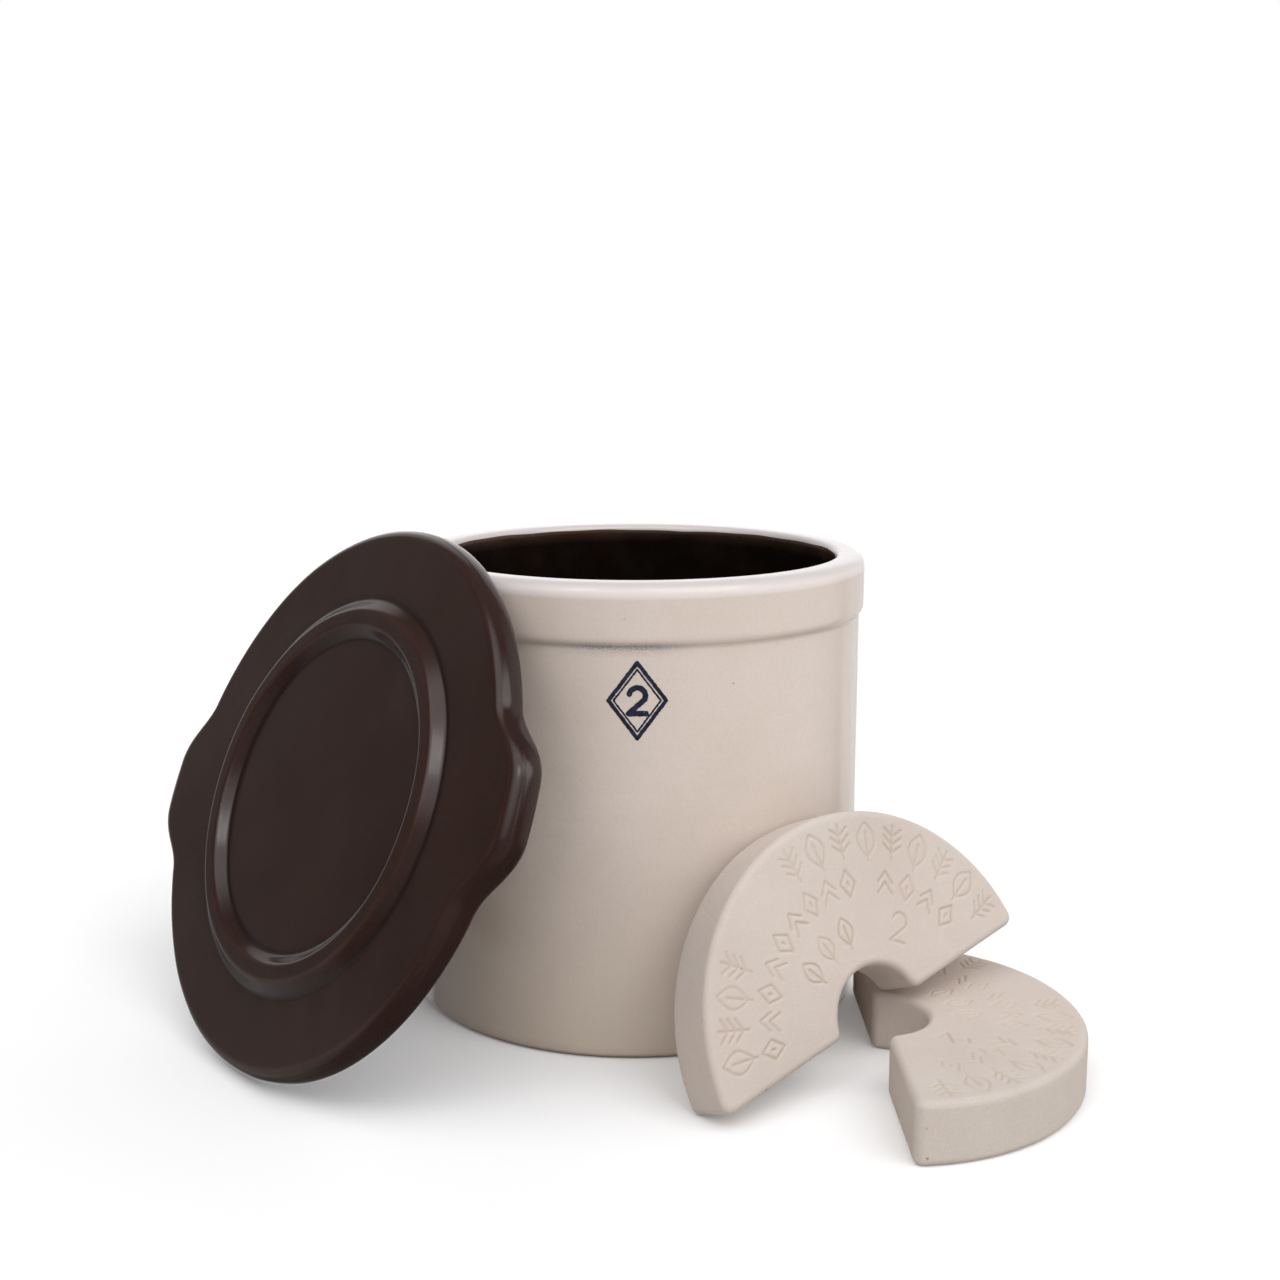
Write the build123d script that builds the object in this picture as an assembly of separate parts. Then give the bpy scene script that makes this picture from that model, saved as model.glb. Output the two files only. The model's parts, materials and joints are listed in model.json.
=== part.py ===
"""Two-gallon stoneware fermenting crock with a lugged lid and two half-ring weights.

Units are millimetres and +Z is up. The origin is the centre of the crock's base, on the floor.
The crock stands upright, the lid leans on its rim, one weight lies flat on the floor, and the
other weight stands on its tip, with one leg over the flat weight and its back on the crock's wall.
"""
import os
from math import cos, radians, sin

from build123d import *

# Crock
CROCK_HEIGHT = 235.0
RIM_RADIUS = 120.65
BODY_RADIUS = 118.0
MOUTH_RADIUS = 105.5
FLOOR_THICKNESS = 13.0
FOOT_ROUND = 3.0
FLOOR_CORNER_ROUND = 12.0
RIM_OUTER_ROUND = 6.5
RIM_INNER_ROUND = 3.5
COLLAR_TOP_OF_STEP = 214.0
COLLAR_FOOT = 206.0

# Lid: the brim's flat top is at local z = 0, and the lid's thickness goes down from there
LID_RADIUS = 137.25
LID_THICKNESS = 14.0
LID_SHOULDER_ROUND = 7.5
LID_LOWER_ROUND = 3.0
LID_CENTRE_THICKNESS = 12.0
TOP_RING_FOOT_RADIUS = 98.5
TOP_RING_OUTER_RADIUS = 92.5
TOP_RING_INNER_RADIUS = 84.0
TOP_RING_TOE_RADIUS = 79.0
TOP_RING_HEIGHT = 5.0
TOP_RING_ROUND = 1.6
SEAT_RING_OUTER_RADIUS = 102.0
SEAT_RING_INNER_RADIUS = 93.0
SEAT_RING_DEPTH = 5.0
SEAT_RING_ROUND = 1.8
LUG_RADIUS = 154.25
LUG_HALF_ANGLE = 12.6
LUG_FLANK_ANGLE = 45.0
LUG_FLANK_REACH = 24.0
LUG_ROUND = 20.0
LUG_AXIS_ANGLE = 10.5

# Lid's place: centre of the brim's top plane, the compass turn of its face, and its lean
LID_CENTRE = (-149.68, -105.36, 129.76)
LID_FACE_TURN = -50.08
LID_LEAN = 24.60

# Weights: each is a half ring, cut back from the ring's centre by half the kerf
WEIGHT_OUTER_RADIUS = 99.0
WEIGHT_HOLE_RADIUS = 25.0
WEIGHT_THICKNESS = 30.0
WEIGHT_KERF = 5.1
WEIGHT_CORNER_ROUND = 5.0
WEIGHT_EDGE_ROUND = 3.5

# Flat weight's place: the ring's centre on the floor, and its turn about Z
FLAT_WEIGHT_CENTRE = (119.14, -127.41, 0.0)
FLAT_WEIGHT_TURN = 2.83

# Leaning weight's place: the ring's centre on its back face, the direction from there to the
# middle of its arc, and the outward normal of its upper face
LEANING_WEIGHT_CENTRE = (106.23, -115.49, 20.10)
LEANING_WEIGHT_ARC = (-0.4284, 0.1498, 0.8911)
LEANING_WEIGHT_FACE = (0.5268, -0.7598, 0.3810)


def polar(radius, angle):
    """A point in the XY plane at an angle in degrees."""
    return (radius * cos(radians(angle)), radius * sin(radians(angle)))


def turned(section):
    """A section drawn with radius along X and height along Y, turned about the Z axis."""
    return revolve(Plane.XZ * section, axis=Axis.Z)


def make_crock():
    """Straight-walled jar with a collar below its rounded rim."""
    rim_shoulder = CROCK_HEIGHT - RIM_OUTER_ROUND
    rim_crest = RIM_RADIUS - RIM_OUTER_ROUND
    mouth_crest = MOUTH_RADIUS + RIM_INNER_ROUND
    mouth_edge = CROCK_HEIGHT - RIM_INNER_ROUND
    foot_radius = BODY_RADIUS - FOOT_ROUND
    floor_radius = MOUTH_RADIUS - FLOOR_CORNER_ROUND
    corner_top = FLOOR_THICKNESS + FLOOR_CORNER_ROUND
    outline = [
        Line((0, 0), (foot_radius, 0)),
        RadiusArc((foot_radius, 0), (BODY_RADIUS, FOOT_ROUND), -FOOT_ROUND),
        Line((BODY_RADIUS, FOOT_ROUND), (BODY_RADIUS, COLLAR_FOOT)),
        Spline(
            (BODY_RADIUS, COLLAR_FOOT),
            (RIM_RADIUS, COLLAR_TOP_OF_STEP),
            tangents=[(0.5, 1), (0, 1)],
        ),
        Line((RIM_RADIUS, COLLAR_TOP_OF_STEP), (RIM_RADIUS, rim_shoulder)),
        RadiusArc((RIM_RADIUS, rim_shoulder), (rim_crest, CROCK_HEIGHT), -RIM_OUTER_ROUND),
        Line((rim_crest, CROCK_HEIGHT), (mouth_crest, CROCK_HEIGHT)),
        RadiusArc((mouth_crest, CROCK_HEIGHT), (MOUTH_RADIUS, mouth_edge), -RIM_INNER_ROUND),
        Line((MOUTH_RADIUS, mouth_edge), (MOUTH_RADIUS, corner_top)),
        RadiusArc((MOUTH_RADIUS, corner_top), (floor_radius, FLOOR_THICKNESS), FLOOR_CORNER_ROUND),
        Line((floor_radius, FLOOR_THICKNESS), (0, FLOOR_THICKNESS)),
        Line((0, FLOOR_THICKNESS), (0, 0)),
    ]
    return turned(make_face(outline)).solid()


def lid_plan():
    """Round lid outline with two opposite lugs that flow into the brim."""
    middle = Vector(*polar((LID_RADIUS + LUG_RADIUS) / 2, LUG_HALF_ANGLE))
    flank = Vector(1, 0).rotate(Axis.Z, LUG_HALF_ANGLE - LUG_FLANK_ANGLE)
    base = middle - flank * LUG_FLANK_REACH
    tip = middle + flank * LUG_FLANK_REACH
    lug = Polygon(
        (0, -base.Y), (base.X, -base.Y), (tip.X, -tip.Y),
        (tip.X, tip.Y), (base.X, base.Y), (0, base.Y),
        align=None,
    )
    lug &= Circle(LUG_RADIUS)
    plan = Circle(LID_RADIUS) + lug + lug.rotate(Axis.Z, 180)
    return fillet(plan.vertices(), LUG_ROUND).rotate(Axis.Z, LUG_AXIS_ANGLE)


def ring_section(points, crests, radius):
    """A closed section, radius along X and height along Y, with its crests rounded."""
    face = make_face(Polyline(*points, close=True))
    corners = [
        vertex for vertex in face.vertices()
        if any(abs(vertex.X - x) + abs(vertex.Y - y) < 0.01 for x, y in crests)
    ]
    return fillet(corners, radius)


def make_lid():
    """Thick disc with a rounded shoulder, a raised ring on top and a seating ring beneath."""
    disc = extrude(lid_plan(), -LID_THICKNESS)
    top_edge = disc.faces().sort_by(Axis.Z)[-1].edges()
    disc = fillet(top_edge, LID_SHOULDER_ROUND)
    bottom_edge = disc.faces().sort_by(Axis.Z)[0].edges()
    disc = fillet(bottom_edge, LID_LOWER_ROUND)

    sunk = 1.0
    top_crests = [(TOP_RING_OUTER_RADIUS, TOP_RING_HEIGHT), (TOP_RING_INNER_RADIUS, TOP_RING_HEIGHT)]
    top_section = ring_section(
        [
            (TOP_RING_FOOT_RADIUS, 0), *top_crests, (TOP_RING_TOE_RADIUS, 0),
            (TOP_RING_TOE_RADIUS, -sunk), (TOP_RING_FOOT_RADIUS, -sunk),
        ],
        top_crests,
        TOP_RING_ROUND,
    )
    seat_bottom = -LID_THICKNESS - SEAT_RING_DEPTH
    seat_crests = [(SEAT_RING_OUTER_RADIUS, seat_bottom), (SEAT_RING_INNER_RADIUS, seat_bottom)]
    seat_section = ring_section(
        [
            (SEAT_RING_OUTER_RADIUS, sunk - LID_THICKNESS), *seat_crests,
            (SEAT_RING_INNER_RADIUS, sunk - LID_THICKNESS),
        ],
        seat_crests,
        SEAT_RING_ROUND,
    )
    hollow = Pos(0, 0, -LID_THICKNESS) * Cylinder(
        SEAT_RING_INNER_RADIUS,
        LID_THICKNESS - LID_CENTRE_THICKNESS,
        align=(Align.CENTER, Align.CENTER, Align.MIN),
    )
    lid = disc + turned(top_section) + turned(seat_section) - hollow
    turn = radians(LID_FACE_TURN)
    lean = radians(LID_LEAN)
    face_normal = (cos(lean) * sin(turn), -cos(lean) * cos(turn), sin(lean))
    place = Plane(origin=LID_CENTRE, x_dir=(cos(turn), sin(turn), 0), z_dir=face_normal)
    return place.location * lid.solid()


def make_weight():
    """Half ring on the +X side, back face at z = 0, with a half-round notch in its cut side."""
    cut = WEIGHT_KERF / 2
    half = Rectangle(
        WEIGHT_OUTER_RADIUS,
        2 * WEIGHT_OUTER_RADIUS,
        align=(Align.MIN, Align.CENTER),
    )
    plan = (Circle(WEIGHT_OUTER_RADIUS) - Circle(WEIGHT_HOLE_RADIUS)) & (Pos(cut, 0) * half)
    plan = fillet(plan.vertices(), WEIGHT_CORNER_ROUND)
    weight = extrude(plan, WEIGHT_THICKNESS)
    rims = weight.faces().sort_by(Axis.Z)[0].edges() + weight.faces().sort_by(Axis.Z)[-1].edges()
    return fillet(rims, WEIGHT_EDGE_ROUND).solid()


def place_flat_weight():
    """Weight lying on the floor, its notch towards the crock."""
    return Pos(*FLAT_WEIGHT_CENTRE) * Rot(0, 0, FLAT_WEIGHT_TURN) * make_weight()


def place_leaning_weight():
    """Weight standing on one tip, with its back against the crock."""
    place = Plane(origin=LEANING_WEIGHT_CENTRE, x_dir=LEANING_WEIGHT_ARC, z_dir=LEANING_WEIGHT_FACE)
    return place.location * make_weight()


PARTS = {
    "crock": make_crock,
    "lid": make_lid,
    "weight_flat": place_flat_weight,
    "weight_leaning": place_leaning_weight,
}


def main():
    os.makedirs("parts", exist_ok=True)
    for name, maker in PARTS.items():
        export_step(maker(), f"parts/{name}.step")


main()
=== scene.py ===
"""Looks for the stoneware fermenting crock, its lugged lid and its two half-ring weights.

The scene is in metres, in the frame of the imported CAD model: +Z is up, the crock's axis is the Z
axis, and its base stands on the floor at z = 0. The stamp, the lid and the weights are drawn in
millimetres in axes of their own, and then carried to their places.
"""

import json
from math import cos, pi, radians, sin, sqrt

import bpy
import numpy as np
from mathutils import Euler, Matrix, Vector

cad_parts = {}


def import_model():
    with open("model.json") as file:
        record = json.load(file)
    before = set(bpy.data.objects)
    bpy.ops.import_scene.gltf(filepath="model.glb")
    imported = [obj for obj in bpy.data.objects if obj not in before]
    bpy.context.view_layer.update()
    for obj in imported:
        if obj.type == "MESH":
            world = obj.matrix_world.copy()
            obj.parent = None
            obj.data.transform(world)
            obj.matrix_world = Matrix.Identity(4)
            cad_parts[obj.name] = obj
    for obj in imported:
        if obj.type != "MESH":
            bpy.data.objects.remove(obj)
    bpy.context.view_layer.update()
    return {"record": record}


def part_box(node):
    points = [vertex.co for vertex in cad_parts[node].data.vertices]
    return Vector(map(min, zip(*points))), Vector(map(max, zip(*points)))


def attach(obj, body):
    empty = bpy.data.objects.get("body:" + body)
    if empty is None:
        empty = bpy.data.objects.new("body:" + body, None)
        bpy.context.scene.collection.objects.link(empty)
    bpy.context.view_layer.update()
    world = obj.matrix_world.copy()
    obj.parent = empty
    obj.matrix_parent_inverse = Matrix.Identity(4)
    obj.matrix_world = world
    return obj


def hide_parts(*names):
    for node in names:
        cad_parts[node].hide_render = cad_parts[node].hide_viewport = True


MM = 0.001
TAU = 2 * pi

# Crock: its height, rim radius and mouth radius come from the frame. The wall is 0.35 mm wider than
# the CAD's and the collar's foot 1.1 mm lower; the skin then lies a little inside these radii.
BODY_RADIUS = 118.35 * MM
CROCK_FLOOR = 13.0 * MM
FOOT_ROUND = 3.0 * MM
FLOOR_CORNER_ROUND = 12.0 * MM
RIM_OUTER_ROUND = 6.5 * MM
RIM_INNER_ROUND = 3.5 * MM
COLLAR_TOP_OF_STEP = 214.0 * MM
COLLAR_FOOT = 204.9 * MM
COLLAR_SHARPNESS = 6
COLLAR_POINTS = 28
SKIN_INSET = 0.2 * MM
CROCK_COLUMNS = 400
LINER_THICKNESS = 0.25 * MM
LINER_EDGE = 232.2 * MM
LINER_SINK = 0.9 * MM

# Stamp: a double diamond round the capacity numeral, on the wall's -Y side
STAMP_TURN = radians(2.5)
STAMP_HEIGHT = 179.3 * MM
STAMP_HALF_WIDTH = 13.6
STAMP_HALF_HEIGHT = 18.2
STAMP_CELL = 0.2

# Lid: the brim's flat top is at local z = 0, and the thickness goes down from there. The rings'
# sections are (radius, height) corners.
LID_RADIUS = 137.25
LID_THICKNESS = 14.0
LID_CENTRE_THICKNESS = 12.0
LID_SHOULDER = 6.5
LID_SHOULDER_DROP = 10.0
LID_LOWER_ROUND = 4.0
LUG_REACH = 17.0
LUG_SHOULDER = 3.0
LUG_FLAT = radians(5.0)
LUG_SPREAD = radians(20.0)
LUG_AXIS = radians(10.5)
TOP_RING = [(79.0, 0), (84.2, 5.0), (92.3, 5.0), (98.5, 0)]
SEAT_RING = [(92.2, 2.0), (93.8, -5.0), (101.0, -5.0), (102.8, 0)]
LID_COLUMNS = 560
LID_CENTRE = Vector((-149.68, -105.36, 129.76)) * MM
LID_FACE_TURN = radians(-50.08)
LID_LEAN = radians(24.60)

# Weights: half rings on the local +X side, back at z = 0, decorated face at the top
WEIGHT_RADIUS = 99.0
WEIGHT_HOLE = 25.0
WEIGHT_THICKNESS = 30.0
WEIGHT_CUT = 2.55
WEIGHT_CORNER = 5.0
WEIGHT_EDGE = 3.5
WEIGHT_ACROSS = 470
WEIGHT_DEEP = 126
GROOVE_DEPTH = 0.85
GROOVE_HALF_WIDTH = 0.95
FLAT_WEIGHT_CENTRE = Vector((119.14, -127.41, 0.0)) * MM
FLAT_WEIGHT_TURN = radians(2.83)
LEANING_WEIGHT_CENTRE = Vector((106.23, -115.49, 20.10)) * MM
LEANING_WEIGHT_ARC = Vector((-0.4284, 0.1498, 0.8911))
LEANING_WEIGHT_FACE = Vector((0.5268, -0.7598, 0.3810))

# Studio lights: direction, cosine of the angle from it where the light starts, cosine where it is
# full, and strength
STUDIO_LIGHTS = [
    ((-0.035, 0.999, 0), 0.61, 0.66, 0.58),  # backdrop, a strip in the crock's glossy side
    ((-0.035, 0.999, 0), 0.70, 0.87, 0.08),  # the backdrop's middle
    ((0, 0.97, 0.25), 0.88, 0.98, 0.45),  # the backdrop's top, on the rim
    ((-0.321, -0.557, 0.766), 0.984, 0.998, 3.8),  # small key light, front left
    ((-0.321, -0.457, 0.830), 0.80, 0.97, 1.86),  # wide soft light round the key
    ((0.430, -0.480, 0.765), 0.88, 0.97, 2.9),  # soft light, front right
    ((0.950, 0.050, 0.300), 0.60, 0.95, 0.7),  # low fill, right
    ((0.1, 0, 1), 0.6, 1.0, 0.1),  # overhead
    ((-0.90, 0.06, -0.42), 0.80, 0.95, 0.3),  # light from under, left
    ((-0.74, 0.62, 0.25), 0.88, 0.985, 0.12),  # faint light behind, left, on the lid's face
    ((-0.15, -0.98, 0.12), 0.70, 0.98, 0.22),  # low fill, front
]
AMBIENT = 0.115
FLOOR_REACH = 12.0
BOUNCE_DEPTH = 0.3 * MM


# ---------------------------------------------------------------- mesh helpers

def waviness(points, size, seed):
    """Smooth noise from -1 to 1 at each point, with bumps about the given size across."""
    draw = np.random.default_rng(seed)
    waves = 14
    aim = draw.normal(size=(waves, 3))
    aim /= np.linalg.norm(aim, axis=1)[:, None]
    pitch = TAU / (2 * size * draw.uniform(0.7, 1.6, waves))
    phase = draw.uniform(0, TAU, waves)
    value = np.sin(points @ (aim * pitch[:, None]).T + phase).sum(-1)
    return np.clip(value / sqrt(waves), -1.6, 1.6) / 1.6


def smooth_step(value):
    """Value eased from 0 to 1, and held at 0 below and at 1 above."""
    value = np.clip(value, 0.0, 1.0)
    return value * value * (3 - 2 * value)


def arc(centre, radius, start, end, steps):
    """Points along an arc, as (distance from the axis, height), angles in degrees."""
    turn = np.radians(np.linspace(start, end, steps))
    return np.stack([centre[0] + radius * np.cos(turn), centre[1] + radius * np.sin(turn)], -1)


def line(start, end, steps):
    """Points along a straight line, both ends included, as (distance from the axis, height)."""
    return np.linspace(start, end, steps)


def joined(*runs):
    """Runs of points end to end, without the points that repeat."""
    points = np.concatenate(runs)
    step = np.linalg.norm(np.diff(points, axis=0), axis=1)
    return points[np.concatenate([[True], step > 1e-9])]


def skin_faces(rows, columns):
    """Faces of a closed surface: a first pole, rings of vertices, and a last pole."""
    ring = np.arange(columns)
    after = (ring + 1) % columns
    below = 1 + (np.arange(rows - 1) * columns)[:, None]
    quads = np.stack(
        [below + ring, below + after, below + columns + after, below + columns + ring], -1
    ).reshape(-1, 4)
    last = rows * columns + 1
    top = last - columns
    start = [(0, int(1 + b), int(1 + a)) for a, b in zip(ring, after)]
    end = [(last, int(top + a), int(top + b)) for a, b in zip(ring, after)]
    return quads.tolist() + start + end


def skin_vertices(rings, heights_at_poles):
    """The vertices that skin_faces expects, from an array of rings."""
    first, last = heights_at_poles
    return np.concatenate([[(0, 0, first)], rings.reshape(-1, 3), [(0, 0, last)]])


def make_piece(name, vertices, faces, material, body, slot, **attributes):
    """A smooth-shaded mesh object that rides on a body."""
    mesh = bpy.data.meshes.new(name)
    mesh.from_pydata(np.asarray(vertices).tolist(), [], faces)
    mesh.validate()
    mesh.shade_smooth()
    for key, values in attributes.items():
        layer = mesh.attributes.new(key, "FLOAT", "POINT")
        layer.data.foreach_set("value", np.asarray(values, np.float32))
    mesh.materials.append(material)
    piece = bpy.data.objects.new(name, mesh)
    bpy.context.scene.collection.objects.link(piece)
    turn_outward(mesh)
    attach(piece, body)
    return piece


def turn_outward(mesh):
    """Flips a closed mesh whose faces look inward."""
    mesh.calc_loop_triangles()
    corners = np.zeros(len(mesh.loop_triangles) * 3, int)
    mesh.loop_triangles.foreach_get("vertices", corners)
    points = np.zeros(len(mesh.vertices) * 3)
    mesh.vertices.foreach_get("co", points)
    a, b, c = points.reshape(-1, 3)[corners.reshape(-1, 3)].transpose(1, 0, 2)
    if np.einsum("ij,ij->i", a, np.cross(b, c)).sum() < 0:
        mesh.flip_normals()


# ---------------------------------------------------------------- material helpers

class Recipe:
    """A Principled material and short calls for the nodes in it."""

    def __init__(self, name, roughness, specular=0.5):
        self.material = bpy.data.materials.new(name)
        self.material.use_nodes = True
        self.tree = self.material.node_tree
        self.shader = self.tree.nodes["Principled BSDF"]
        self.shader.inputs["Roughness"].default_value = roughness
        self.shader.inputs["Specular IOR Level"].default_value = specular
        self.place = self.tree.nodes.new("ShaderNodeTexCoord").outputs["Object"]

    def link(self, source, target):
        self.tree.links.new(source, target)

    def feed(self, socket, value):
        """Sets a socket to a number or colour, or links it to another socket."""
        if isinstance(value, bpy.types.NodeSocket):
            self.link(value, socket)
        else:
            socket.default_value = value

    def stretched(self, scale):
        """Object coordinates scaled differently along each axis."""
        node = self.tree.nodes.new("ShaderNodeMapping")
        node.inputs["Scale"].default_value = scale
        self.link(self.place, node.inputs["Vector"])
        return node.outputs["Vector"]

    def noise(self, scale, detail=3.0, rough=0.5, place=None):
        node = self.tree.nodes.new("ShaderNodeTexNoise")
        node.inputs["Scale"].default_value = scale
        node.inputs["Detail"].default_value = detail
        node.inputs["Roughness"].default_value = rough
        self.link(place or self.place, node.inputs["Vector"])
        return node.outputs[0]

    def cells(self, scale):
        """Distance to the nearest of a set of scattered points, and that point's random colour."""
        node = self.tree.nodes.new("ShaderNodeTexVoronoi")
        node.inputs["Scale"].default_value = scale
        self.link(self.place, node.inputs["Vector"])
        return node.outputs["Distance"], node.outputs["Color"]

    def attribute(self, name):
        node = self.tree.nodes.new("ShaderNodeAttribute")
        node.attribute_name = name
        return node.outputs["Fac"]

    def ramp(self, value, low, high, to_low=0.0, to_high=1.0):
        """Value mapped smoothly from the range low-high to another range."""
        node = self.tree.nodes.new("ShaderNodeMapRange")
        node.interpolation_type = "SMOOTHSTEP"
        limits = {"From Min": low, "From Max": high, "To Min": to_low, "To Max": to_high}
        for key, number in limits.items():
            node.inputs[key].default_value = number
        self.link(value, node.inputs["Value"])
        return node.outputs["Result"]

    def math(self, operation, first, second=0.0):
        node = self.tree.nodes.new("ShaderNodeMath")
        node.operation = operation
        self.feed(node.inputs[0], first)
        self.feed(node.inputs[1], second)
        return node.outputs[0]

    def mix(self, factor, first, second, blend="MIX"):
        node = self.tree.nodes.new("ShaderNodeMix")
        node.data_type = "RGBA"
        node.blend_type = blend
        self.feed(node.inputs[0], factor)
        self.feed(node.inputs[6], first)
        self.feed(node.inputs[7], second)
        return node.outputs[2]

    def bump(self, height, strength, distance, onto=None):
        node = self.tree.nodes.new("ShaderNodeBump")
        node.inputs["Strength"].default_value = strength
        node.inputs["Distance"].default_value = distance
        self.link(height, node.inputs["Height"])
        if onto is not None:
            self.link(onto, node.inputs["Normal"])
        return node.outputs["Normal"]

    def finish(self, color=None, roughness=None, normal=None):
        for key, source in (("Base Color", color), ("Roughness", roughness), ("Normal", normal)):
            if source is not None:
                self.link(source, self.shader.inputs[key])
        return self.material


def rgb(red, green, blue):
    """A linear colour from sRGB values of 0 to 255."""
    scaled = (value / 255 for value in (red, green, blue))
    return (*(v / 12.92 if v <= 0.04045 else ((v + 0.055) / 1.055) ** 2.4 for v in scaled), 1.0)


# ---------------------------------------------------------------- materials

def cream_glaze():
    """Clear gloss over cream clay: cloudy warm tone, specks, a smudge, a bare foot; a painted highlight
    on the rim's round, painted shade on its top, under the collar and towards the foot.
    """
    r = Recipe("cream_glaze", roughness=0.16)
    cloud = r.ramp(r.noise(9, 4, 0.6), 0.3, 0.72)
    tone = r.mix(cloud, rgb(226, 214, 206), rgb(219, 206, 196))
    streak = r.ramp(r.noise(1.0, 3, 0.55, r.stretched((14, 14, 160))), 0.45, 0.75, 0.0, 0.12)
    tone = r.mix(streak, tone, rgb(212, 198, 185))
    grain = r.ramp(r.noise(900, 2, 0.6), 0.35, 0.7, 0.0, 0.22)
    tone = r.mix(grain, tone, rgb(204, 189, 176))
    spot, kind = r.cells(150)
    rare = r.ramp(kind, 0.80, 0.86)
    speck = r.math("MULTIPLY", r.ramp(spot, 0.10, 0.04), rare)
    tone = r.mix(r.math("MULTIPLY", speck, 0.55), tone, rgb(120, 96, 76))
    # Painted shade: a dark line under the collar's overhang, partly glaze pooled at its foot.
    tone = r.mix(r.attribute("pool"), tone, rgb(176, 157, 138))
    # Painted shade: darker and warmer towards the foot.
    tone = r.mix(r.attribute("painted_low_shade"), tone, rgb(203, 186, 166))
    # Painted highlight: a pale band along the rim's outer round.
    tone = r.mix(r.attribute("lip"), tone, rgb(233, 225, 223))
    # Painted shade: the rim's flat top toned greyer and darker.
    tone = r.mix(r.attribute("rim_top_shade"), tone, rgb(211, 204, 204))
    dust = r.ramp(r.noise(1500, 2, 0.7), 0.36, 0.64)
    cloudy = r.ramp(r.noise(70, 2, 0.6), 0.05, 0.45)
    smudge = r.math("MULTIPLY", r.math("MULTIPLY", dust, cloudy), r.attribute("smudge"))
    tone = r.mix(smudge, tone, rgb(122, 130, 146))
    tone = r.mix(r.attribute("foot"), tone, rgb(128, 96, 80))
    bare = r.math("MULTIPLY", r.attribute("foot"), 0.5)
    rough = r.math("ADD", r.ramp(r.noise(70, 3), 0.3, 0.7, 0.10, 0.20), bare)
    peel = r.bump(r.noise(95, 2, 0.4), 0.12, 0.0012)
    fine = r.bump(r.noise(700, 2, 0.5), 0.08, 0.0003, peel)
    return r.finish(tone, rough, fine)


def liner_glaze():
    """Near-black slip glaze, brown where it thins towards the lip."""
    r = Recipe("liner_glaze", roughness=0.3, specular=0.3)
    cloud = r.ramp(r.noise(22, 4, 0.6), 0.35, 0.7)
    tone = r.mix(cloud, rgb(17, 11, 8), rgb(26, 17, 12))
    tone = r.mix(r.attribute("thin"), tone, rgb(86, 60, 46))
    spot, kind = r.cells(160)
    speck = r.math("MULTIPLY", r.ramp(spot, 0.12, 0.05), r.ramp(kind, 0.8, 0.86))
    tone = r.mix(r.math("MULTIPLY", speck, 0.6), tone, rgb(92, 66, 50))
    rough = r.ramp(r.noise(60, 3), 0.3, 0.7, 0.16, 0.30)
    peel = r.bump(r.noise(90, 3, 0.5), 0.18, 0.001)
    return r.finish(tone, rough, peel)


def lid_glaze():
    """Dark chocolate gloss that breaks to red-brown on the crests, with pinholes, and darker at the
    ring's feet: pooled glaze and painted shade.
    """
    r = Recipe("lid_glaze", roughness=0.2, specular=0.36)
    cloud = r.ramp(r.noise(16, 4, 0.6), 0.3, 0.7)
    tone = r.mix(cloud, rgb(41, 25, 21), rgb(48, 31, 26))
    grain = r.ramp(r.noise(1100, 2, 0.7), 0.35, 0.7, 0.0, 0.45)
    tone = r.mix(grain, tone, rgb(55, 34, 28))
    uneven = r.ramp(r.noise(45, 3, 0.6), 0.25, 0.7, 0.35, 1.0)
    tone = r.mix(r.math("MULTIPLY", r.attribute("crest"), uneven), tone, rgb(58, 37, 31))
    # Darker at the top ring's feet: partly pooled glaze, partly painted shade.
    tone = r.mix(r.attribute("pool"), tone, rgb(22, 14, 12))
    spot, kind = r.cells(95)
    pin = r.math("MULTIPLY", r.ramp(spot, 0.06, 0.03), r.ramp(kind, 0.86, 0.9))
    tone = r.mix(r.math("MULTIPLY", pin, 0.7), tone, rgb(128, 96, 82))
    rough = r.ramp(r.noise(85, 3, 0.6), 0.3, 0.72, 0.13, 0.2)
    peel = r.bump(r.noise(60, 1, 0.3), 0.05, 0.001)
    holes = r.bump(r.math("SUBTRACT", 1.0, pin), 0.5, 0.0004, peel)
    return r.finish(tone, rough, holes)


def bisque():
    """Matt unglazed clay: warm grey-pink, fine grain, faint wipe marks and small pits."""
    r = Recipe("bisque", roughness=0.85, specular=0.25)
    cloud = r.ramp(r.noise(14, 5, 0.6), 0.3, 0.7)
    tone = r.mix(cloud, rgb(210, 203, 197), rgb(202, 193, 186))
    grain = r.ramp(r.noise(1300, 2, 0.7), 0.3, 0.72, 0.0, 0.4)
    tone = r.mix(grain, tone, rgb(193, 176, 160))
    tone = r.mix(r.ramp(r.noise(5, 2), 0.45, 0.7, 0.0, 0.3), tone, rgb(214, 196, 188))
    spot, kind = r.cells(120)
    pit = r.math("MULTIPLY", r.ramp(spot, 0.09, 0.05), r.ramp(kind, 0.84, 0.88))
    tone = r.mix(r.math("MULTIPLY", pit, 0.6), tone, rgb(126, 106, 88))
    # Painted shade: darker in the ornament's grooves.
    tone = r.mix(r.math("MULTIPLY", r.attribute("groove"), 0.4), tone, rgb(188, 166, 140))
    rough = r.ramp(r.noise(300, 3), 0.3, 0.7, 0.78, 0.95)
    wiped = r.bump(r.noise(1.0, 3, 0.6, r.stretched((30, 30, 420))), 0.22, 0.0008)
    sandy = r.bump(r.noise(1100, 3, 0.65), 0.5, 0.0003, wiped)
    pitted = r.bump(r.math("SUBTRACT", 1.0, pit), 0.7, 0.0006, sandy)
    return r.finish(tone, rough, pitted)


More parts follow.
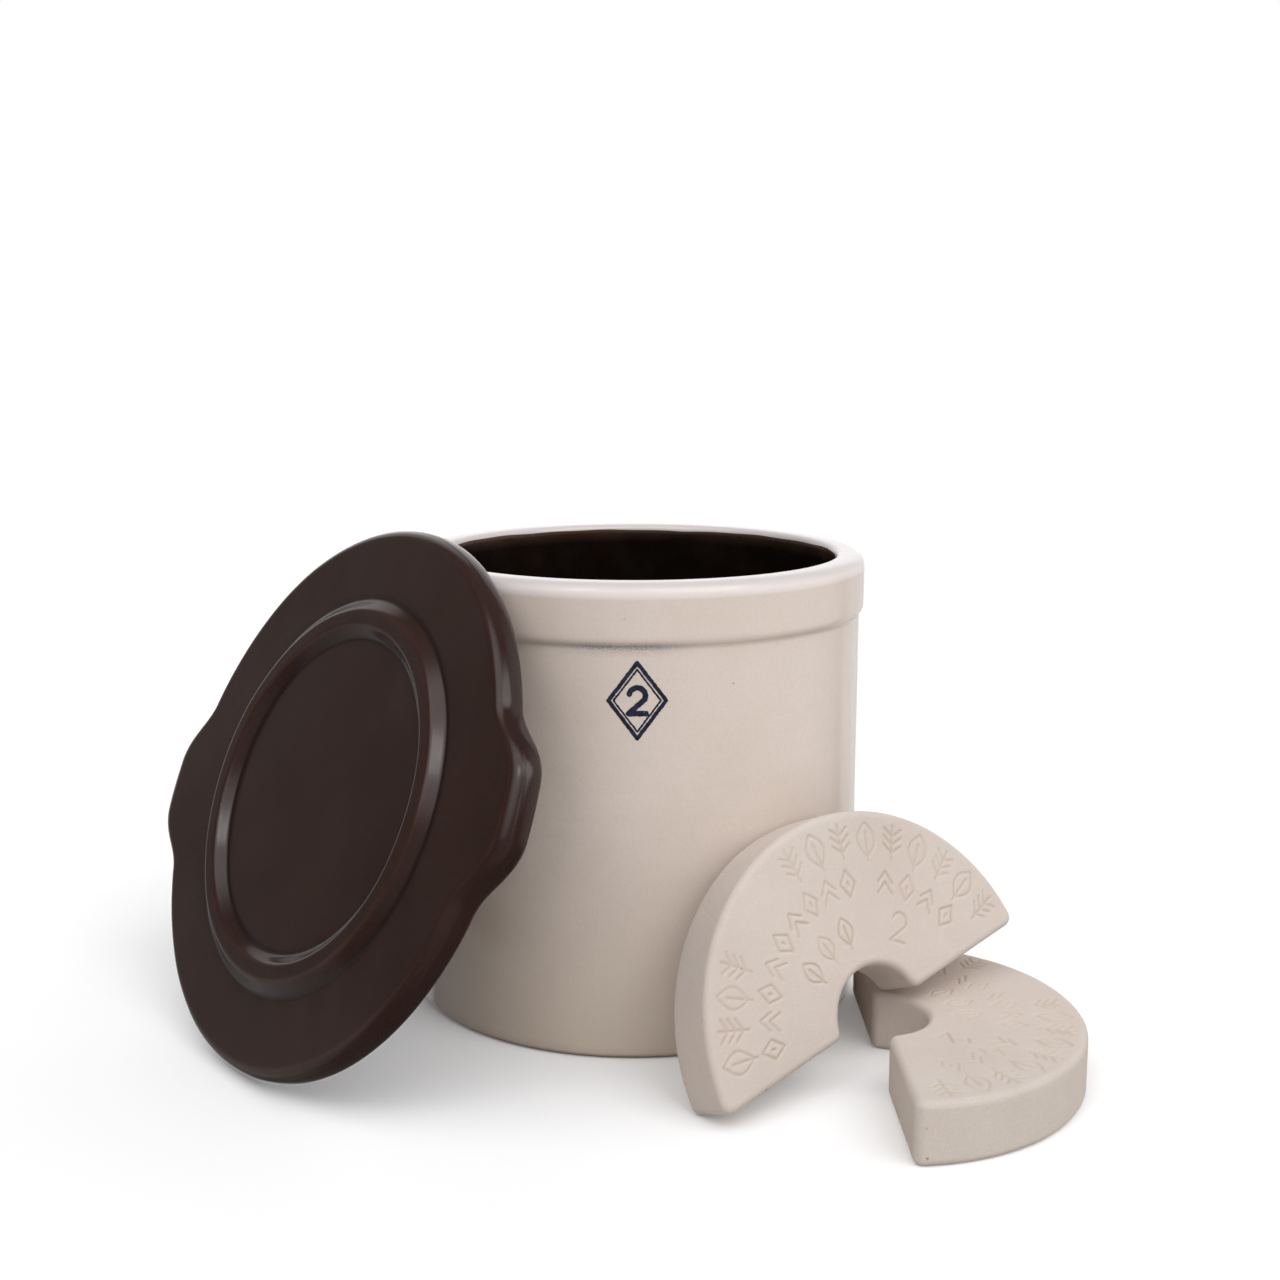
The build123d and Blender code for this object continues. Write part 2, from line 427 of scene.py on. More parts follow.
def stamp_ink():
    """Navy ink under the glaze, thinner in patches."""
    r = Recipe("stamp_ink", roughness=0.16)
    patch = r.ramp(r.noise(260, 4, 0.65), 0.34, 0.68)
    tone = r.mix(patch, rgb(16, 22, 42), rgb(36, 42, 70))
    worn = r.ramp(r.noise(520, 3, 0.7), 0.64, 0.76, 0.0, 0.55)
    tone = r.mix(worn, tone, rgb(150, 146, 150))
    rough = r.ramp(r.noise(70, 3), 0.3, 0.7, 0.10, 0.22)
    return r.finish(tone, rough, r.bump(r.noise(95, 2, 0.4), 0.12, 0.0012))


# ---------------------------------------------------------------- crock

def crock_profile(height, rim, mouth):
    """Outline of the wall's section, from the base's centre round to the floor's centre."""
    foot = BODY_RADIUS - FOOT_ROUND
    rim_crest = rim - RIM_OUTER_ROUND
    shoulder = height - RIM_OUTER_ROUND
    lip = mouth + RIM_INNER_ROUND
    corner = mouth - FLOOR_CORNER_ROUND
    rise = np.linspace(0, 1, COLLAR_POINTS)
    step = line((BODY_RADIUS, COLLAR_FOOT), (rim, COLLAR_TOP_OF_STEP), COLLAR_POINTS)
    step[:, 0] = BODY_RADIUS + (rim - BODY_RADIUS) * (1 - (1 - rise) ** COLLAR_SHARPNESS)
    return joined(
        line((foot / 6, 0), (foot, 0), 6),
        arc((foot, FOOT_ROUND), FOOT_ROUND, -90, 0, 8),
        line((BODY_RADIUS, FOOT_ROUND), (BODY_RADIUS, COLLAR_FOOT - 2 * MM), 60),
        step,
        line((rim, COLLAR_TOP_OF_STEP), (rim, shoulder), 30),
        arc((rim_crest, shoulder), RIM_OUTER_ROUND, 0, 90, 16),
        line((rim_crest, height), (lip, height), 4),
        arc((lip, height - RIM_INNER_ROUND), RIM_INNER_ROUND, 90, 180, 12),
        line((mouth, height - RIM_INNER_ROUND), (mouth, CROCK_FLOOR + FLOOR_CORNER_ROUND), 40),
        arc((corner, CROCK_FLOOR + FLOOR_CORNER_ROUND), FLOOR_CORNER_ROUND, 0, -90, 10),
        line((corner, CROCK_FLOOR), (corner / 6, CROCK_FLOOR), 6),
    )


def turned_rings(profile, columns):
    """Rings of points round the Z axis, one for each point of a profile."""
    turn = np.linspace(0, TAU, columns, endpoint=False)
    radius, height = profile[:, 0:1], profile[:, 1:2]
    flat = np.broadcast_to(height, (len(profile), columns))
    return np.stack([radius * np.cos(turn), radius * np.sin(turn), flat], -1)


def crock_rings(profile, mouth):
    """The wall's rings, with the slow unevenness of a thrown pot on the outer skin."""
    rings = turned_rings(profile, CROCK_COLUMNS)
    wave = waviness(rings, 45 * MM, 11) * 0.16 * MM + waviness(rings, 14 * MM, 12) * 0.03 * MM
    away = np.linalg.norm(rings[..., :2], axis=-1, keepdims=True)
    outward = rings[..., :2] / np.maximum(away, 1e-6)
    outer_skin = smooth_step((away - mouth - 2 * MM) / (7 * MM))
    rings[..., :2] -= outward * (SKIN_INSET + wave)[..., None] * outer_skin
    return rings


def crock_glaze_zones(vertices, height):
    """How strongly each change of the glaze, and each painted shade and painted highlight, shows at
    each vertex, from 0 to 1.
    """
    z = vertices[:, 2]
    from_axis = np.linalg.norm(vertices[:, :2], axis=1)
    outside = from_axis > (BODY_RADIUS - 4 * MM)
    turn = np.arctan2(vertices[:, 0], -vertices[:, 1])
    shoulder = height - RIM_OUTER_ROUND

    # Painted shade: a dark line under the collar's overhang, partly glaze pooled at its foot.
    pool = np.exp(-(((z - COLLAR_FOOT) / (1.6 * MM)) ** 2)) * outside * 0.1
    smudge = np.exp(-(((z - COLLAR_FOOT + 0.1 * MM) / (1.9 * MM)) ** 2)) * outside
    smudge *= np.exp(-((turn + radians(0.5)) / radians(11.5)) ** 4)
    # Painted shade: darker and warmer towards the foot, on the outside.
    painted_low_shade = smooth_step(1 - z / (110 * MM)) * outside * 0.4
    # Painted highlight: a pale band along the rim's outer round.
    lip = smooth_step((z - shoulder + 1.5 * MM) / (1.4 * MM)) * 0.9
    # Painted shade: the rim's flat top toned greyer and darker.
    rim_top_shade = smooth_step((z - height + 5 * MM) / (3 * MM))
    foot = np.exp(-((z / (2.0 * MM)) ** 2)) * (from_axis > BODY_RADIUS * 0.9)
    foot = np.maximum(foot, (z < 0.1 * MM) * 1.0)
    return {
        "pool": pool, "smudge": smudge, "painted_low_shade": painted_low_shade, "lip": lip, "rim_top_shade": rim_top_shade, "foot": foot
    }


def make_crock(height, rim, mouth):
    """The glazed jar, as one closed skin turned about the Z axis."""
    profile = crock_profile(height, rim, mouth)
    vertices = skin_vertices(crock_rings(profile, mouth), (0.0, CROCK_FLOOR))
    piece = make_piece(
        "crock_shell",
        vertices,
        skin_faces(len(profile), CROCK_COLUMNS),
        cream_glaze(),
        "crock",
        "cream_glaze",
        **crock_glaze_zones(vertices, height),
    )
    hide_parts("crock")
    return piece


def make_liner(mouth):
    """Thin closed layer of dark glaze over the crock's inside, up to a wavy edge under the lip."""
    corner = mouth - FLOOR_CORNER_ROUND
    top = CROCK_FLOOR + FLOOR_CORNER_ROUND
    skin = LINER_THICKNESS
    front = joined(
        line((corner / 6, CROCK_FLOOR + skin), (corner, CROCK_FLOOR + skin), 6),
        arc((corner, top), FLOOR_CORNER_ROUND - skin, -90, 0, 10),
        line((mouth - skin, top), (mouth - skin, LINER_EDGE - 2 * MM), 40),
        line((mouth - skin, LINER_EDGE - 2 * MM), (mouth + 0.02 * MM, LINER_EDGE), 7),
    )
    back = front[::-1] + np.array([[LINER_SINK, 0.0]])
    back[:, 1] -= 0.5 * MM * (back[:, 0] < corner + 2 * MM)
    back[0, 1] -= 0.1 * MM
    profile = np.concatenate([front, back])
    rings = turned_rings(profile, CROCK_COLUMNS)
    near_edge = smooth_step((rings[..., 2] - (LINER_EDGE - 12 * MM)) / (12 * MM))
    turn = np.linspace(0, TAU, CROCK_COLUMNS, endpoint=False)
    drift = 0.25 * np.sin(3 * turn + 1) + 0.2 * np.sin(8 * turn) + 0.12 * np.sin(21 * turn + 2)
    rings[..., 2] += near_edge * drift * MM
    vertices = skin_vertices(rings, (CROCK_FLOOR + skin, CROCK_FLOOR - 0.5 * MM))
    thin = smooth_step((vertices[:, 2] - (LINER_EDGE - 3 * MM)) / (3 * MM))
    return make_piece(
        "crock_liner",
        vertices,
        skin_faces(len(profile), CROCK_COLUMNS),
        liner_glaze(),
        "crock",
        "liner_glaze",
        thin=thin,
    )


# ---------------------------------------------------------------- numerals and strokes

def numeral_two(width, height, steps=14):
    """A plain 2 as one polyline, centred, with its hook, neck and foot."""
    bowl = width * 0.47
    centre = height / 2 - bowl
    hook = [
        (bowl * cos(a), centre + bowl * sin(a)) for a in np.radians(np.linspace(168, -28, steps))
    ]
    return np.array([*hook, (-width / 2, -height / 2), (width / 2, -height / 2)])


def distance_to_polyline(points, polyline):
    """Distance from each point to the nearest place on a polyline."""
    best = np.full(len(points), np.inf)
    for start, end in zip(polyline[:-1], polyline[1:]):
        along = end - start
        share = np.clip((points - start) @ along / max(along @ along, 1e-12), 0, 1)
        best = np.minimum(best, np.linalg.norm(points - start - share[:, None] * along, axis=1))
    return best


# ---------------------------------------------------------------- stamp

def stamp_field(points):
    """Signed distance, in mm, to the stamp's ink: below zero inside a line."""
    def diamond(scale):
        wide, tall = STAMP_HALF_WIDTH * scale, STAMP_HALF_HEIGHT * scale
        return np.array([(0, tall), (wide, 0), (0, -tall), (-wide, 0), (0, tall)])

    outer = distance_to_polyline(points, diamond(1.0)) - 0.95
    inner = distance_to_polyline(points, diamond(0.82)) - 0.45
    numeral = distance_to_polyline(points, numeral_two(8.2, 12.4)) - 1.35
    rough = waviness(np.c_[points, points[:, 0] * 0], 0.9, 21) * 0.13
    return np.minimum(np.minimum(outer, inner), numeral) + rough


def make_stamp():
    """Ink laid on the wall as thin closed plates whose edges follow the stamp's outline."""
    reach = np.array([STAMP_HALF_WIDTH, STAMP_HALF_HEIGHT]) + 2
    counts = np.round(2 * reach / STAMP_CELL).astype(int)
    across = np.linspace(-reach[0], reach[0], counts[0] + 1)
    up = np.linspace(-reach[1], reach[1], counts[1] + 1)
    grid = np.stack(np.meshgrid(across, up), -1).reshape(-1, 2)
    field = stamp_field(grid)
    columns = len(across)
    corner = (np.arange(counts[1])[:, None] * columns + np.arange(counts[0])).ravel()
    quads = np.stack([corner, corner + 1, corner + columns + 1, corner + columns], -1)
    quads = quads[field[quads].mean(1) < 0]

    slope = np.stack([
        (stamp_field(grid + [0.05, 0]) - field) / 0.05,
        (stamp_field(grid + [0, 0.05]) - field) / 0.05,
    ], -1)
    edges = np.sort(np.concatenate([quads[:, [i, (i + 1) % 4]] for i in range(4)]), axis=1)
    unique, inverse, uses = np.unique(edges, axis=0, return_inverse=True, return_counts=True)
    border = np.unique(unique[uses == 1])
    steep = np.maximum((slope[border] ** 2).sum(-1), 0.25)
    move = np.clip(field[border] / steep, -0.7 * STAMP_CELL, 0.7 * STAMP_CELL)
    grid[border] -= slope[border] * move[:, None]

    used = np.unique(quads)
    number = np.zeros(len(grid), int)
    number[used] = np.arange(len(used))
    on_border = np.isin(used, border)

    def on_wall(points, lift):
        turn = STAMP_TURN + points[:, 0] * MM / BODY_RADIUS
        radius = BODY_RADIUS - SKIN_INSET + lift
        return np.stack([
            radius * np.sin(turn), -radius * np.cos(turn), STAMP_HEIGHT + points[:, 1] * MM
        ], -1)

    front = on_wall(grid[used], np.where(on_border, 0.14 * MM, 0.2 * MM))
    back = on_wall(grid[used], -0.35 * MM)
    count = len(used)
    face = number[quads]
    directed = np.concatenate([face[:, [i, (i + 1) % 4]] for i in range(4)])
    walls = directed[uses[np.ravel(inverse)].reshape(-1) == 1]
    sides = np.stack([walls[:, 1], walls[:, 0], walls[:, 0] + count, walls[:, 1] + count], -1)
    faces = face.tolist() + (face[:, ::-1] + count).tolist() + sides.tolist()
    return make_piece(
        "capacity_stamp", np.concatenate([front, back]), faces, stamp_ink(), "crock", "stamp_ink"
    )


# ---------------------------------------------------------------- lid

def lug_bulge(turn):
    """How far the brim stands out at each angle: 1 on a lug, 0 away from the lugs."""
    off = np.abs((turn - LUG_AXIS + pi / 2) % pi - pi / 2)
    fall = np.clip((off - LUG_FLAT) / (LUG_SPREAD - LUG_FLAT), 0, 1)
    return (1 + np.cos(pi * fall)) / 2


def eased(radii, corners, soften):
    """Heights of a polyline profile at the given radii, with its corners softened."""
    fine = np.linspace(corners[0][0] - 10, corners[-1][0] + 10, 2400)
    heights = np.interp(fine, *zip(*corners))
    pitch = fine[1] - fine[0]
    window = np.exp(-((np.arange(-120, 121) * pitch / soften) ** 2))
    padded = np.pad(heights, 120, mode="edge")
    return np.interp(radii, fine, np.convolve(padded, window / window.sum(), "valid"))


def top_ring_height(radii):
    return eased(radii, TOP_RING, 1.2)


def seat_ring_depth(radii):
    return eased(radii, SEAT_RING, 0.7)


def lid_section(turn):
    """Radius and height of each point of the lid's section, for every angle."""
    bulge = lug_bulge(turn)
    edge = LID_RADIUS + LUG_REACH * bulge
    shoulder = LID_SHOULDER + LUG_SHOULDER * bulge
    radii, heights = [], []

    def add(radius, height):
        radii.append(np.broadcast_to(radius, turn.shape))
        heights.append(np.broadcast_to(height, turn.shape))

    inner = np.concatenate([np.linspace(8, 74, 9), np.arange(76, 102, 0.45), [104, 108]])
    for radius, height in zip(inner, top_ring_height(inner)):
        add(radius, height)
    for share in np.linspace(0.12, 1, 12):
        add(108 + (edge - shoulder - 108) * share, 0.0)
    for angle in np.radians(np.linspace(0, 90, 20)[1:]):
        add(edge - shoulder + shoulder * sin(angle), -LID_SHOULDER_DROP * (1 - cos(angle)))
    for angle in np.radians(np.linspace(0, 90, 8)[1:]):
        add(
            edge - LID_LOWER_ROUND * (1 - cos(angle)),
            -LID_SHOULDER_DROP - LID_LOWER_ROUND * sin(angle),
        )
    for share in np.linspace(0.1, 1, 9):
        add(edge - LID_LOWER_ROUND + (107 - edge + LID_LOWER_ROUND) * share, -LID_THICKNESS)
    under = np.concatenate([np.arange(105, 90, -0.5), np.linspace(86, 8, 8)])
    for radius, height in zip(under, seat_ring_depth(under)):
        add(radius, height - LID_THICKNESS)
    return np.array(radii), np.array(heights)


def lid_place():
    """Matrix from the lid's own axes to the frame."""
    normal = Vector((
        cos(LID_LEAN) * sin(LID_FACE_TURN), -cos(LID_LEAN) * cos(LID_FACE_TURN), sin(LID_LEAN)
    ))
    along = Vector((cos(LID_FACE_TURN), sin(LID_FACE_TURN), 0))
    return placed(LID_CENTRE, along, normal)


def placed(origin, x_axis, z_axis):
    """Matrix of a frame with the given origin, X axis and Z axis."""
    z_axis = z_axis.normalized()
    y_axis = z_axis.cross(x_axis).normalized()
    x_axis = y_axis.cross(z_axis)
    turn = Matrix((x_axis, y_axis, z_axis)).transposed()
    return Matrix.Translation(origin) @ turn.to_4x4()


def carried(points, matrix):
    """Points in mm in a piece's own axes, carried into the frame in metres."""
    m = np.array(matrix)
    return points * MM @ m[:3, :3].T + m[:3, 3]


def make_lid():
    """The lid as one closed skin, a little uneven on top, carried to where it leans."""
    turn = np.linspace(0, TAU, LID_COLUMNS, endpoint=False)
    radii, heights = lid_section(turn)
    rings = np.stack([radii * np.cos(turn), radii * np.sin(turn), heights], -1)
    uneven = waviness(rings, 32, 31) * 0.22 + waviness(rings, 11, 32) * 0.05
    rings[..., 2] += uneven * (heights > -4) - 0.25 * (heights > -4)
    from_axis = np.concatenate([[0], radii.ravel(), [0]])
    vertices = skin_vertices(rings, (-0.25, -LID_CENTRE_THICKNESS))
    z = vertices[:, 2]
    on_top = z > -LID_SHOULDER_DROP
    bulge = np.concatenate([[0], np.tile(lug_bulge(turn), len(radii)), [0]])
    brim = LID_RADIUS + LUG_REACH * bulge
    into_shoulder = from_axis - (brim - LID_SHOULDER - LUG_SHOULDER * bulge)

    def band(centre, width):
        return np.exp(-(((from_axis - centre) / width) ** 2)) * on_top

    crest = band(92.2, 1.3) + 0.8 * band(84.4, 1.1)
    crest += 0.9 * np.exp(-(((into_shoulder - 1.6) / 0.9) ** 2)) * on_top
    # Darker at the top ring's feet: partly pooled glaze, partly painted shade.
    pool = band(99.2, 1.6) + band(78.4, 1.5)
    piece = make_piece(
        "lid",
        carried(vertices, lid_place()),
        skin_faces(len(radii), LID_COLUMNS),
        lid_glaze(),
        "lid",
        "lid_glaze",
        crest=np.clip(crest, 0, 1),
        pool=np.clip(pool, 0, 1) * 0.7,
    )
    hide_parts("lid")
    return piece


# ---------------------------------------------------------------- weights

def leaf():
    """Pointed oval with a midrib, in a box one unit high."""
    share = np.linspace(0, 1, 13)
    side = np.stack([0.30 * np.sin(pi * share), share - 0.5], -1)
    return [side, side * [-1, 1], np.array([(0, -0.62), (0, 0.2)])]


def sprig():
    """Upright stem with slanting barbs."""
    barbs = [
        np.array([(0, low), (way * 0.30, low + 0.24)])
        for low in (-0.32, -0.08, 0.16) for way in (-1, 1)
    ]
    return [np.array([(0, -0.5), (0, 0.5)]), *barbs]


def lozenge():
    """Diamond with a dot in it."""
    outline = np.array([(0, 0.5), (0.34, 0), (0, -0.5), (-0.34, 0), (0, 0.5)])
    return [outline, np.array([(0, -0.06), (0, 0.06)])]


def chevrons():
    """Two nested arrowheads."""
    return [np.array([(-0.32, base), (0, base + 0.42), (0.32, base)]) for base in (-0.42, -0.02)]


def ornament_rows():
    """(glyph, radius, angle, height) of every mark on a weight's face: three rings of marks."""
    marks = []

    def run(glyphs, radius, height, first, last, count):
        for index, angle in enumerate(np.linspace(first, last, count)):
            marks.append((glyphs[index % len(glyphs)], radius, radians(angle), height))

    run([leaf(), sprig()], 84.5, 17.0, 76, 47, 4)
    run([sprig(), leaf()], 84.5, 17.0, 7, -78, 9)
    run([lozenge(), chevrons()], 64.5, 13.0, 75, -13, 9)
    run([chevrons(), lozenge()], 64.5, 13.0, -33, -68, 4)
    run([leaf()], 44.0, 13.5, 35, -2, 3)
    marks.append(([numeral_two(0.62, 1.0)], 44.5, radians(-44), 14.0))
    return marks


def groove_depth(points, seed):
    """Depth of the ornament's soft grooves at each (x, y) point, and how deep in one each is."""
    depth = np.zeros(len(points))
    draw = np.random.default_rng(seed)
    for glyph, radius, angle, height in ornament_rows():
        centre = radius * np.array([cos(angle), sin(angle)])
        outward = np.array([cos(angle), sin(angle)])
        across = np.array([sin(angle), -cos(angle)])
        near = np.flatnonzero(np.linalg.norm(points - centre, axis=1) < height)
        local = np.stack([(points[near] - centre) @ across, (points[near] - centre) @ outward], -1)
        tilt = draw.normal(0, 0.05)
        local = local @ np.array([[cos(tilt), -sin(tilt)], [sin(tilt), cos(tilt)]])
        pressed = draw.uniform(0.65, 1.0)
        for stroke in glyph:
            away = distance_to_polyline(local, stroke * height)
            cut = np.exp(-((away / (GROOVE_HALF_WIDTH * 0.62)) ** 2)) * pressed
            depth[near] = np.maximum(depth[near], cut)
    return depth


def weight_outline(inset):
    """Sides of the plan outline, moved in by inset: hole, cut side up, outer arc, cut side down.

    Each side is a list of (centre, radius, from angle, to angle) arcs or (start, end) lines.
    """
    fillet_x = WEIGHT_CUT + WEIGHT_CORNER
    outer_y = sqrt((WEIGHT_RADIUS - WEIGHT_CORNER) ** 2 - fillet_x ** 2)
    inner_y = sqrt((WEIGHT_HOLE + WEIGHT_CORNER) ** 2 - fillet_x ** 2)
    outer_turn = np.arctan2(outer_y, fillet_x)
    inner_turn = np.arctan2(inner_y, fillet_x)
    corner = WEIGHT_CORNER - inset
    cut = WEIGHT_CUT + inset
    outer_mid = (outer_turn + pi) / 2
    inner_mid = (inner_turn + pi + pi) / 2
    hole = [
        ((fillet_x, -inner_y), corner, -inner_mid + TAU, TAU - inner_turn - pi),
        ((0, 0), WEIGHT_HOLE + inset, -inner_turn, inner_turn),
        ((fillet_x, inner_y), corner, inner_turn + pi, inner_mid),
    ]
    outer = [
        ((fillet_x, -outer_y), corner, -outer_mid, -outer_turn),
        ((0, 0), WEIGHT_RADIUS - inset, -outer_turn, outer_turn),
        ((fillet_x, outer_y), corner, outer_turn, outer_mid),
    ]
    side = [
        ((fillet_x, inner_y), corner, inner_mid, pi),
        ((cut, inner_y), (cut, outer_y)),
        ((fillet_x, outer_y), corner, pi, outer_mid),
    ]
    return hole, side, outer


def sample_side(pieces, count):
    """Evenly spaced points along a chain of arcs and lines."""
    runs = []
    for item in pieces:
        if len(item) == 4:
            centre, radius, start, end = item
            turn = np.linspace(start, end, 160)
            runs.append(np.stack([
                centre[0] + radius * np.cos(turn), centre[1] + radius * np.sin(turn)
            ], -1))
        else:
            runs.append(np.linspace(*item, 160))
    points = np.concatenate(runs)
    travel = np.concatenate([[0], np.cumsum(np.linalg.norm(np.diff(points, axis=0), axis=1))])
    wanted = np.linspace(0, travel[-1], count + 1)
    return np.stack([np.interp(wanted, travel, points[:, axis]) for axis in (0, 1)], -1)


def weight_loop(inset):
    """The plan outline as one closed loop of points, and its four sides for the face's grid."""
    hole, side, outer = weight_outline(inset)
    near = sample_side(hole, WEIGHT_ACROSS)
    far = sample_side(outer, WEIGHT_ACROSS)
    right = sample_side(side, WEIGHT_DEEP)
    left = right * [1, -1]
    loop = np.concatenate([near[:-1], right[:-1], far[::-1][:-1], left[::-1][:-1]])
    return loop, near, far, left, right


def face_grid():
    """Points over the flat of a weight's face, as a grid that follows its outline."""
    _, near, far, left, right = weight_loop(WEIGHT_EDGE)
    s = np.linspace(0, 1, WEIGHT_ACROSS + 1)[None, :, None]
    t = np.linspace(0, 1, WEIGHT_DEEP + 1)[:, None, None]
    corners = (
        (1 - s) * (1 - t) * near[0] + s * (1 - t) * near[-1]
        + (1 - s) * t * far[0] + s * t * far[-1]
    )
    return (1 - t) * near + t * far + (1 - s) * left[:, None] + s * right[:, None] - corners


def weight_mesh(seed):
    """Vertices in mm, faces, and groove strength of one half-ring weight."""
    grid = face_grid()
    rows, columns = grid.shape[:2]
    plan = grid.reshape(-1, 2)
    groove = groove_depth(plan, seed)
    face = np.c_[plan, np.full(len(plan), WEIGHT_THICKNESS)]
    index = np.arange(rows * columns).reshape(rows, columns)
    quads = np.stack(
        [index[:-1, :-1], index[:-1, 1:], index[1:, 1:], index[1:, :-1]], -1
    ).reshape(-1, 4).tolist()
    rim = np.concatenate([index[0, :-1], index[:-1, -1], index[-1, ::-1][:-1], index[::-1, 0][:-1]])

    curve = np.radians(np.linspace(0, 90, 8))
    top = WEIGHT_THICKNESS
    levels = [(WEIGHT_EDGE * (1 - sin(a)), top - WEIGHT_EDGE * (1 - cos(a))) for a in curve[1:]]
    levels += [(0, z) for z in np.linspace(top - WEIGHT_EDGE, WEIGHT_EDGE, 9)[1:]]
    levels += [(WEIGHT_EDGE * (1 - cos(a)), WEIGHT_EDGE * (1 - sin(a))) for a in curve[1:]]
    parts, ring = [face], rim
    total = len(face)
    for inset, z in levels:
        loop = weight_loop(inset)[0]
        parts.append(np.c_[loop, np.full(len(loop), z)])
        after = np.arange(total, total + len(loop))
        quads += np.stack([ring, after, np.roll(after, -1), np.roll(ring, -1)], -1).tolist()
        total += len(loop)
        ring = after
    quads.append(ring[::-1].tolist())
    vertices = np.concatenate(parts)
    strength = np.concatenate([groove, np.zeros(total - len(face))])

    middle = np.array([0.0, 0.0, WEIGHT_THICKNESS / 2])
    inward = np.zeros_like(vertices)
    inward[:, 2] = -np.sign(vertices[:, 2] - middle[2]) * (np.abs(vertices[:, 2] - middle[2]) > 11)
    sag = 0.18 + 0.18 * waviness(vertices, 26, seed + 1) + 0.05 * waviness(vertices, 8, seed + 2)
    vertices = vertices + inward * sag[:, None]
    from_axis = np.linalg.norm(vertices[:, :2], axis=1, keepdims=True)
    pull = np.where(from_axis > 60, -1.0, 0.0) * vertices[:, :2] / from_axis
    vertices[:, :2] += pull * (0.2 + 0.2 * waviness(vertices, 30, seed + 3))[:, None] * (from_axis > 90)
    vertices[:, 2] -= GROOVE_DEPTH * strength
    return vertices, quads, strength


def make_weight(name, body, matrix, material, seed):
    """One half-ring weight, carried to its place and riding on its body."""
    vertices, faces, groove = weight_mesh(seed)
    points = carried(vertices, matrix)
    piece = make_piece(name, points, faces, material, body, "bisque", groove=groove)
    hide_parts(body)
    return piece


# ---------------------------------------------------------------- studio

def make_sheet(name, height, tint, glow):
    """A wide level sheet of paper in the studio."""
    r = Recipe(name, roughness=0.9, specular=0.1)
    darker = tuple(0.98 * value for value in tint)
    paper = r.mix(r.ramp(r.noise(3, 2), 0.3, 0.7), (*darker, 1), (*tint, 1))
    r.shader.inputs["Emission Color"].default_value = (1, 1, 1, 1)
    r.shader.inputs["Emission Strength"].default_value = glow
    mesh = bpy.data.meshes.new(name)
    corners = [(-1, -1), (1, -1), (1, 1), (-1, 1)]
    points = [(x * FLOOR_REACH, y * FLOOR_REACH, height) for x, y in corners]
    mesh.from_pydata(points, [], [(0, 1, 2, 3)])
    mesh.materials.append(r.finish(paper))
    sheet = bpy.data.objects.new(name, mesh)
    sheet.visible_glossy = False
    bpy.context.scene.collection.objects.link(sheet)
    return sheet


def make_floor():
    """White paper that shows the shadows, and a greyer sheet under it that bounces the light."""
    paper = make_sheet("studio_floor", 0.0, (0.90, 0.91, 0.925), 0.12)
    paper.visible_diffuse = False
    paper.visible_shadow = False
    bounce = make_sheet("bounce_sheet", -BOUNCE_DEPTH, (0.74, 0.72, 0.69), 0.0)
    bounce.visible_camera = False


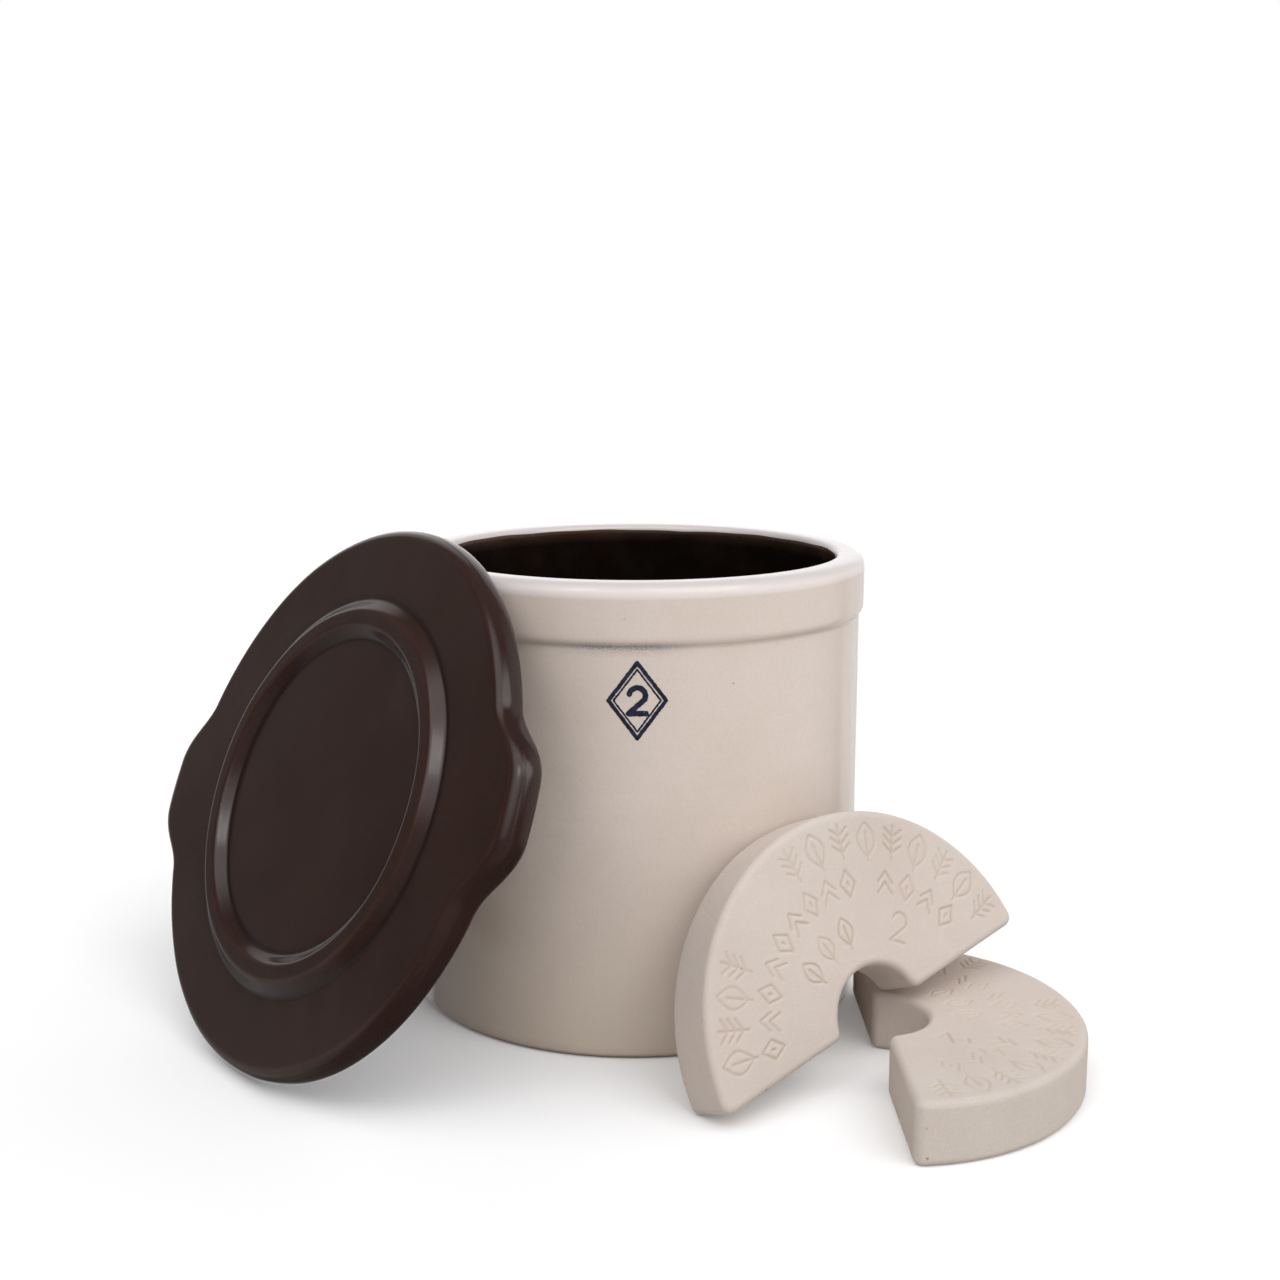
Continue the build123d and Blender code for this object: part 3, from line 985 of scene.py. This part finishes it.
def make_world():
    """Surroundings made of the studio lights and a faint even light.

    The camera itself sees plain white.
    """
    world = bpy.data.worlds.new("studio")
    bpy.context.scene.world = world
    world.use_nodes = True
    tree = world.node_tree
    tree.nodes.clear()
    place = tree.nodes.new("ShaderNodeTexCoord").outputs["Generated"]

    def lobe(direction, start, full, strength):
        """Light that grows from nothing to full strength as the view nears a direction."""
        toward = tree.nodes.new("ShaderNodeVectorMath")
        toward.operation = "DOT_PRODUCT"
        toward.inputs[1].default_value = Vector(direction).normalized()
        tree.links.new(place, toward.inputs[0])
        fall = tree.nodes.new("ShaderNodeMapRange")
        fall.interpolation_type = "SMOOTHSTEP"
        for key, number in (("From Min", start), ("From Max", full), ("To Max", strength)):
            fall.inputs[key].default_value = number
        tree.links.new(toward.outputs["Value"], fall.inputs["Value"])
        return fall.outputs["Result"]

    total = None
    for light in (*STUDIO_LIGHTS, ((0, 0, 1), -2, -1.5, AMBIENT)):
        part = lobe(*light)
        if total is not None:
            add = tree.nodes.new("ShaderNodeMath")
            tree.links.new(total, add.inputs[0])
            tree.links.new(part, add.inputs[1])
            part = add.outputs[0]
        total = part
    studio = tree.nodes.new("ShaderNodeBackground")
    studio.inputs["Color"].default_value = (1.0, 0.99, 0.985, 1)
    tree.links.new(total, studio.inputs["Strength"])
    white = tree.nodes.new("ShaderNodeBackground")
    white.inputs["Color"].default_value = (1, 1, 1, 1)
    path = tree.nodes.new("ShaderNodeLightPath")
    choose = tree.nodes.new("ShaderNodeMixShader")
    tree.links.new(path.outputs["Is Camera Ray"], choose.inputs[0])
    tree.links.new(studio.outputs[0], choose.inputs[1])
    tree.links.new(white.outputs[0], choose.inputs[2])
    out = tree.nodes.new("ShaderNodeOutputWorld")
    tree.links.new(choose.outputs[0], out.inputs["Surface"])


def make_camera():
    """Camera at the front, a little to the right and above the rim, looking slightly down."""
    camera = bpy.data.cameras.new("camera")
    camera.lens = 50
    camera.sensor_width = 36
    camera.clip_start, camera.clip_end = 0.05, 60
    holder = bpy.data.objects.new("camera", camera)
    holder.location = (0.032913, -0.931484, 0.36128)
    holder.rotation_euler = Euler((radians(79.353), 0, radians(1.8645)))
    bpy.context.scene.collection.objects.link(holder)
    bpy.context.scene.camera = holder


def main():
    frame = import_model()
    _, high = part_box("crock")
    mouth = next(m for m in frame["record"]["mounts"] if m["name"] == "mouth")["dims"]["r_mm"] * MM

    make_crock(high.z, high.x, mouth)
    make_liner(mouth)
    make_stamp()
    make_lid()
    clay = bisque()
    flat = Matrix.Translation(FLAT_WEIGHT_CENTRE) @ Matrix.Rotation(FLAT_WEIGHT_TURN, 4, "Z")
    leaning = placed(LEANING_WEIGHT_CENTRE, LEANING_WEIGHT_ARC, LEANING_WEIGHT_FACE)
    make_weight("flat_weight", "weight_flat", flat, clay, 51)
    make_weight("leaning_weight", "weight_leaning", leaning, clay, 71)

    make_floor()
    make_world()
    make_camera()
    bpy.context.scene.view_settings.view_transform = "Standard"


main()
